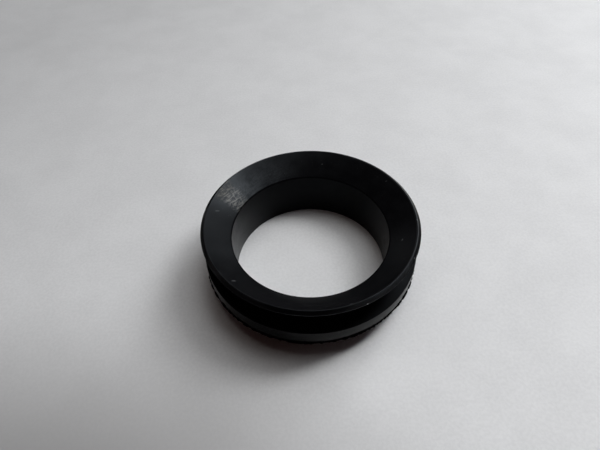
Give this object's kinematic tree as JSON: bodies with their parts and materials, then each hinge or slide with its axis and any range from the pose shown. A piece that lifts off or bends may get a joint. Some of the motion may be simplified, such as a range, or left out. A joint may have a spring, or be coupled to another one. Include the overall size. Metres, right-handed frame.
{
  "type": "v-ring seal",
  "caption": "Black rubber shaft seal: a ring body with a conical back, an outer band, a deep groove and a flared conical sealing lip.",
  "frame": {"origin": "centre of the bore in the plane of the heel, the flat foot of the ring", "axes": "+Z along the bore axis, from the heel towards the sealing lip; X and Y are alike, as the ring is round"},
  "size_m": [0.0303, 0.0302, 0.0097],
  "materials": {
    "rubber": "moulded black nitrile rubber, satin"
  },
  "bodies": {
    "root": {"v_ring": "rubber"}
  },
  "joints": []
}
